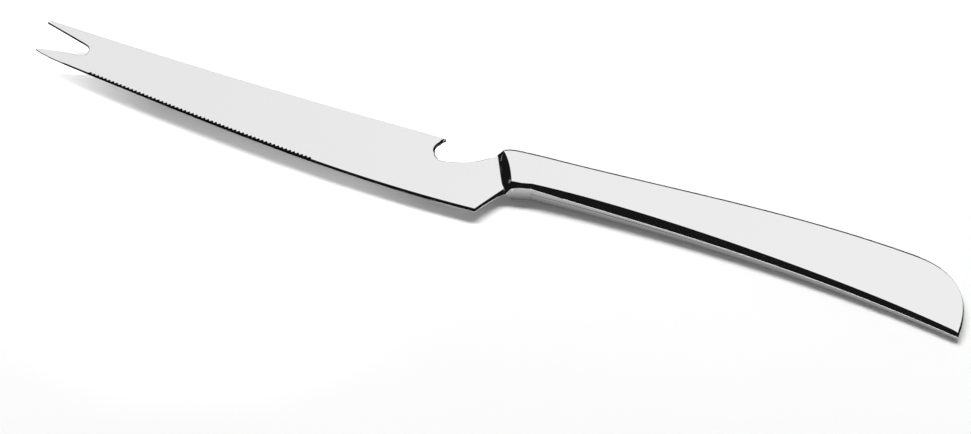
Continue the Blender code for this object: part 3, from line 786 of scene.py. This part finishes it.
print("grey card", len(faces), "faces")

# %% [markdown]
# ## Steel
# Cutlery is polished on cloth wheels, along its length, until it mirrors. What is left to see are
# hair-fine lines along the blade and a slow drift of tone where the wheel lingered. The edge's bevel
# and its teeth are ground across and are rougher. The lines are real at a few hundredths of a
# millimetre, too fine to show, so they are drawn about ten times as coarse.

# %% Steel finishes
DRIFT_MM = 45
LINE_STRETCH, LINE_RELIEF = 40, 0.3
LINE_LOW, LINE_HIGH = 0.3, 0.7
BLADE_ENDS, HANDLE_ENDS = (-0.10, 0.03), (0.03, 0.12)


def wheel_finished(name, colours, ends, line_mm, roughness, depth_mm, across=False):
    """Metal with stretched wheel lines in its gloss and a tone that drifts from one end to the other."""
    material, tree = new_material(name)
    place = node(tree, "ShaderNodeTexCoord")
    along, wide = 1 / (LINE_STRETCH * line_mm * MM), 1 / (line_mm * MM)
    scale = (wide, along, wide) if across else (along, wide, wide)
    stretched = node(tree, "ShaderNodeMapping", {"Vector": place.outputs["Object"], "Scale": scale})
    lines = node(tree, "ShaderNodeTexNoise", {"Vector": stretched.outputs[0], "Scale": 1.0, "Detail": 4.0})
    gloss = node(tree, "ShaderNodeMapRange", {"Value": lines.outputs[0], "From Min": LINE_LOW,
                                              "From Max": LINE_HIGH, "To Min": roughness[0],
                                              "To Max": roughness[1]})
    apart = node(tree, "ShaderNodeSeparateXYZ", {"Vector": place.outputs["Object"]})
    cloud = node(tree, "ShaderNodeTexNoise", {"Vector": place.outputs["Object"],
                                              "Scale": 1 / (DRIFT_MM * MM)})
    wander = node(tree, "ShaderNodeMath", {0: cloud.outputs[0], 1: DRIFT_MM * MM, 2: apart.outputs["X"]},
                  operation="MULTIPLY_ADD")
    drift = node(tree, "ShaderNodeMapRange", {"Value": wander.outputs[0], "From Min": ends[0],
                                              "From Max": ends[1]})
    tint = node(tree, "ShaderNodeMix", {0: drift.outputs[0], 6: linear(colours[0]), 7: linear(colours[1])},
                data_type="RGBA")
    relief = node(tree, "ShaderNodeBump", {"Height": lines.outputs[0], "Strength": LINE_RELIEF,
                                           "Distance": depth_mm * MM})
    steel = node(tree, "ShaderNodeBsdfPrincipled", {"Base Color": tint.outputs[2], "Metallic": 1.0,
                                                    "Roughness": gloss.outputs[0],
                                                    "Normal": relief.outputs[0]})
    node(tree, "ShaderNodeOutputMaterial", {"Surface": steel.outputs[0]})
    return material


# A cloth wheel leaves the flats a mirror: they show the white room, a touch greyer towards the fork.
blade_polish = wheel_finished("stainless_blade_mirror_polished", ("#E5E5E5", "#EBEBEB"), BLADE_ENDS,
                              line_mm=0.4, roughness=(0.05, 0.09), depth_mm=0.0003)
# Pressed sheet is smoother to begin with, so the handle takes the brighter polish.
handle_polish = wheel_finished("stainless_sheet_mirror_polished", ("#EBEBEB", "#EDEDED"), HANDLE_ENDS,
                               line_mm=0.4, roughness=(0.04, 0.08), depth_mm=0.0003)
# Grinding across the edge leaves a bevel that mirrors less sharply and looks a shade darker.
ground_edge = wheel_finished("stainless_edge_wheel_ground", ("#D2D2D2", "#E0E0E0"), BLADE_ENDS,
                             line_mm=0.3, roughness=(0.06, 0.12), depth_mm=0.0005, across=True)
# The gaps between the teeth are coarse from the stone. Their dark is painted into the steel's colour:
# painted shade where they shade one another, and a painted dark reflection, being too small to mirror a card.
teeth_painted_dark = wheel_finished("stainless_teeth_ground_painted_dark", ("#161616", "#2C2C2C"), BLADE_ENDS,
                              line_mm=0.2, roughness=(0.30, 0.45), depth_mm=0.002, across=True)
print("steels:", blade_polish.name, handle_polish.name, ground_edge.name, teeth_painted_dark.name)

# %% [markdown]
# ## The blade's skin
# All columns in a row form the closed outline. Faces between neighbouring columns make the walls and
# bevels, two broad faces make the flats, and the ramp's grid joins the blade's flat to the bolster's.
# The wall at the handle's mouth is left open for the tang, the tongue that is set into the handle.

# %% Walls and flats
columns = edge + heel + near_ramp + near_bolster + far_bolster + far_ramp + notch + spine + fork
near_row = len(edge + heel)
mouth = near_row + len(near_ramp + near_bolster) - 1
far_row = mouth + 1 + len(far_bolster)
rows = len(RAMP_ROWS)
toothed = range(EDGE_STEPS, EDGE_STEPS + TOOTH_COUNT * len(TOOTH_SHARES))
TOOTH_LEVELS = range(1, 2 * ROUND_STEPS)

bm = bmesh.new()
verts = [[bm.verts.new(p) for p in section(col, step)] for col, step in zip(columns, inward_steps(columns))]
for i, line in enumerate(verts):
    if i == mouth:
        continue
    after = verts[(i + 1) % len(verts)]
    for level, (a, b, c, d) in enumerate(zip(line, line[1:], after, after[1:])):
        face = bm.faces.new((a, b, d, c))
        # Edge faces take the ground finish; the teeth's bevels take the steel with painted shade and
        # reflection.
        face.material_index = int(i < len(edge)) + int(i in toothed and level in TOOTH_LEVELS)
for level, sign in ((0, 1), (-1, -1)):
    ring = [line[level] for line in verts]
    inner = []
    for row in RAMP_ROWS:
        points = [ramp_point(i / RAMP_STEPS, row) for i in range(1, RAMP_STEPS)]
        inner.append([bm.verts.new((p.x, p.y, sign * p.z)) for p in points])
    grid = [[ring[near_row + r], *inner[r], ring[far_row + rows - 1 - r]] for r in range(rows)]
    for low, high in zip(grid, grid[1:]):
        for a, b, c, d in zip(low, low[1:], high, high[1:]):
            bm.faces.new((a, b, d, c))
    bm.faces.new([*ring[far_row + rows:], *ring[:near_row], *grid[0]])
    bm.faces.new([*ring[near_row + rows:far_row], *grid[-1][::-1]])
print(len(columns), "columns,", len(bm.faces), "faces")

# %% Tang
TANG_LENGTH, TANG_WIDTH, TANG_END_WIDTH, TANG_THICKNESS = 40.0, 5.0, 3.4, 1.6
KEY_DEPTH, KEY_LENGTH, KEY_COUNT = 0.6, 3.0, 2


def middle_at(x):
    return (height_at(FAR_SIDE, x) + height_at(NEAR_SIDE, x)) / 2


def tang_ring(x, key):
    share = (x - MOUTH_X) / TANG_LENGTH
    middle = blended(middle_at(MOUTH_X), middle_at(MOUTH_X + TANG_LENGTH), share)
    half = blended(TANG_WIDTH, TANG_END_WIDTH, share) / 2 - key
    return [bm.verts.new((x, middle + y * half, z * TANG_THICKNESS / 2))
            for y, z in ((-1, 1), (-1, -1), (1, -1), (1, 1))]


stations = [(MOUTH_X, 0.0)]
for i in range(KEY_COUNT):
    centre = MOUTH_X + TANG_LENGTH * (i + 1) / (KEY_COUNT + 1)
    stations += [(centre - KEY_LENGTH / 2, 0.0), (centre, KEY_DEPTH), (centre + KEY_LENGTH / 2, 0.0)]
stations.append((MOUTH_X + TANG_LENGTH, 0.0))
mouth_edges = [e for e in bm.edges if e.is_boundary]
tang = [tang_ring(*station) for station in stations]
for low, high in zip(tang, tang[1:]):
    for i in range(4):
        bm.faces.new((low[i], low[i - 1], high[i - 1], high[i]))
bm.faces.new(tang[-1])
root_edges = [bm.edges.get((tang[0][i], tang[0][i - 1])) for i in range(4)]
bmesh.ops.triangle_fill(bm, edges=mouth_edges + root_edges, use_beauty=True, normal=(1, 0, 0))
blade = finished("polished_blade", bm, "blade", "blade_steel", blade_polish, ground_edge, teeth_painted_dark)
print("tang", TANG_LENGTH, "mm")

# %% [markdown]
# ## The handle's half shells
# The handle is pressed from two sheets and soldered along the rim. Its near side has a bevel that is
# narrow at the mouth, widest about a quarter of the way along, and narrows again to the butt. The
# bevel under it is smaller, and the far side is only rounded over. Each shell is drawn as a closed
# skin with its wall thickness, so that it is hollow like the real one.

# %% Shell columns
SHELL_WALL = 0.7
CORNER_INSET, CORNER_DROP, CORNER_CLEAR = 1.0, 0.68, 5
NEAR_INSET = pulled((MOUTH_X, MOUTH_BEVEL), [2.6, 0.3, 1.45], (BUTT_X, CORNER_INSET))
NEAR_DROP = pulled((MOUTH_X, NEAR_STEEP * MOUTH_BEVEL), [2.5, 0.85, 1.5], (BUTT_X, CORNER_DROP))
BUTT_INSET = pulled((0.0, 0.50), [0.45, -0.4, 0.3], (1.0, FAR_BEVEL))
BUTT_LEAN, FAR_LEAN = 0.78, FAR_DROP / FAR_BEVEL
JOINT_GAP = 0.004
SOLDER_FRONT, SOLDER_STEP = MOUTH_X + 0.25, 0.02
RIM_HEIGHT = 0.11
SIDE_STEPS = 60
NEAR_SOFT, BUTT_SOFT = 0.14, 0.05
FRONT = MOUTH_X + JOINT_GAP


def shares(count):
    return [i / count for i in range(count + 1)]


def near_column(x):
    share = (x - MOUTH_X) / (BUTT_X - MOUTH_X)
    under = blended(NEAR_UNDER, CORNER_INSET, share), blended(NEAR_UNDER, CORNER_DROP, share)
    return column((x, height_at(NEAR_SIDE, x)), height_at(NEAR_INSET, x), height_at(NEAR_DROP, x), under,
                  soft=NEAR_SOFT)


def butt_column(share):
    inset = height_at(BUTT_INSET, share)
    return column(bezier(BUTT, share), inset, inset * blended(BUTT_LEAN, FAR_LEAN, share), soft=BUTT_SOFT)


def handle_outline():
    """Columns round the handle; those beside the near corner of the butt are left out for its mitre."""
    mouth_places = [FRONT, SOLDER_FRONT]
    solder_start = SOLDER_FRONT + SOLDER_STEP
    near = [near_column(x) for x in mouth_places]
    near += [near_column(blended(solder_start, BUTT_X, s)) for s in shares(SIDE_STEPS)]
    butt = [butt_column(s) for s in shares(SIDE_STEPS)[CORNER_CLEAR:]]
    far_places = [blended(SHOULDER_X, solder_start, s) for s in shares(SIDE_STEPS)[1:]] + mouth_places[::-1]
    far = [column((x, height_at(FAR_SIDE, x)), FAR_BEVEL, FAR_DROP, soft=FAR_SOFT) for x in far_places]
    near[0] = near[0]._replace(normal=(0.0, 1.0))
    near[-1] = near[-1]._replace(normal=(-BUTT_INSET[0][1] / CORNER_INSET, 1.0))
    far[-1] = far[-1]._replace(normal=(0.0, -1.0))
    return near + butt + far


def shell_section(col, inward, sign):
    """Flat's edge, rounded bevel, wall, rim, and the same inside at the sheet's thickness."""
    corner = math.tan(math.radians(45) / 2)  # how far a bend of 45 degrees moves the inside corner on

    def at(inset, depth, front=FRONT):
        p = col.place + inward * inset
        p.x = max(p.x, front)
        return Vector((p.x, p.y, handle_half(p) - depth))

    def on_rim(inset, front):
        p = at(inset, 0.0, front)
        return Vector((p.x, p.y, RIM_HEIGHT if p.x > SOLDER_FRONT + SOLDER_STEP / 2 else JOINT_GAP / 2))

    inside = FRONT + SHELL_WALL
    inset, drop = (col.inset, col.drop) if sign > 0 else col.under
    flat, ridge, rim = at(inset, 0.0), at(0.0, drop), on_rim(0.0, FRONT)
    line = [*rounded(at(inset + 1, 0.0), flat, ridge, col.soft), *rounded(flat, ridge, rim, col.soft), rim,
            on_rim(SHELL_WALL, inside), at(SHELL_WALL, drop + corner * SHELL_WALL, inside),
            at(inset + corner * SHELL_WALL, SHELL_WALL, inside)]
    return [Vector((p.x, p.y, sign * p.z)) for p in line]


outline = handle_outline()
print("handle outline:", len(outline), "columns")

# %% Two shells, each with a slot for the tang
SLOT_GAP = 0.25


def tang_slot():
    """A block through the front wall, cut out of both shells and then thrown away."""
    block = bmesh.new()
    size = Vector((4 * SHELL_WALL, TANG_WIDTH + 2 * SLOT_GAP, TANG_THICKNESS + 2 * SLOT_GAP))
    bmesh.ops.create_cube(block, size=1.0)
    bmesh.ops.scale(block, vec=size, verts=block.verts)
    bmesh.ops.translate(block, vec=(MOUTH_X, middle_at(MOUTH_X), 0.0), verts=block.verts)
    bmesh.ops.transform(block, matrix=LAY, verts=block.verts)
    cutter = link("tang_slot", bpy.data.meshes.new("tang_slot"))
    block.to_mesh(cutter.data)
    block.free()
    return cutter


def shell(name, node_name, sign, cutter):
    bm = bmesh.new()
    verts = [[bm.verts.new(p) for p in shell_section(col, step, sign)]
             for col, step in zip(outline, inward_steps(outline))]
    for line, after in zip(verts, [*verts[1:], verts[0]]):
        for a, b, c, d in zip(line, line[1:], after, after[1:]):
            bm.faces.new((a, b, d, c))
    for level in (0, -1):
        bm.faces.new([line[level] for line in verts])
    obj = finished(name, bm, node_name, "handle_steel", handle_polish)
    cut = obj.modifiers.new("tang_slot", "BOOLEAN")
    cut.object, cut.operation, cut.solver = cutter, "DIFFERENCE", "EXACT"
    graph = bpy.context.evaluated_depsgraph_get()
    obj.data = bpy.data.meshes.new_from_object(obj.evaluated_get(graph))
    obj.modifiers.clear()
    shade_by_angle(obj.data)
    return obj


cutter = tang_slot()
upper_shell = shell("polished_upper_shell", "upper_handle_shell", 1, cutter)
lower_shell = shell("polished_lower_shell", "lower_handle_shell", -1, cutter)
bpy.data.objects.remove(cutter)
for obj in (blade, upper_shell, lower_shell):
    even = obj.modifiers.new("flat_shading", "WEIGHTED_NORMAL")
    even.keep_sharp = True
print("shells:", len(upper_shell.data.polygons), "and", len(lower_shell.data.polygons), "faces")

# %% [markdown]
# ## Solder and cement
# These two solids stay as they are, because nearly nothing of them shows. The solder strip lies flush
# in the rim and is dressed with the shells, so it gets a slightly warmer, duller metal. The cement
# round the tang is out of sight: a pale, gritty filler.

# %% Hidden finishes
GRIT_MM, GRIT_DEPTH_MM, GRIT_RELIEF = 0.8, 0.1, 0.6
CEMENT_ROUGHNESS = 0.9

# Softer than the steel beside it, solder keeps more of the wheel's marks and mirrors less sharply.
silver_solder = wheel_finished("silver_solder_dressed_flush", ("#D9D6D0", "#E3E1DC"), HANDLE_ENDS,
                               line_mm=0.3, roughness=(0.10, 0.20), depth_mm=0.0005)

# Poured in place and never touched again: dull, with grains of sand that can be told apart close up.
setting_cement, tree = new_material("setting_cement_cast")
place = node(tree, "ShaderNodeTexCoord")
grit = node(tree, "ShaderNodeTexNoise", {"Vector": place.outputs["Object"], "Scale": 1 / (GRIT_MM * MM),
                                         "Detail": 6.0})
tint = node(tree, "ShaderNodeMix", {0: grit.outputs[0], 6: linear("#9C9284"), 7: linear("#BDB3A3")},
            data_type="RGBA")
relief = node(tree, "ShaderNodeBump", {"Height": grit.outputs[0], "Strength": GRIT_RELIEF,
                                       "Distance": GRIT_DEPTH_MM * MM})
cast = node(tree, "ShaderNodeBsdfPrincipled", {"Base Color": tint.outputs[2], "Roughness": CEMENT_ROUGHNESS,
                                               "Normal": relief.outputs[0]})
node(tree, "ShaderNodeOutputMaterial", {"Surface": cast.outputs[0]})
for name, material in (("rim_solder", silver_solder), ("tang_cement", setting_cement)):
    frame["nodes"][name].material_slots[0].material = material
print("finished:", silver_solder.name, setting_cement.name)
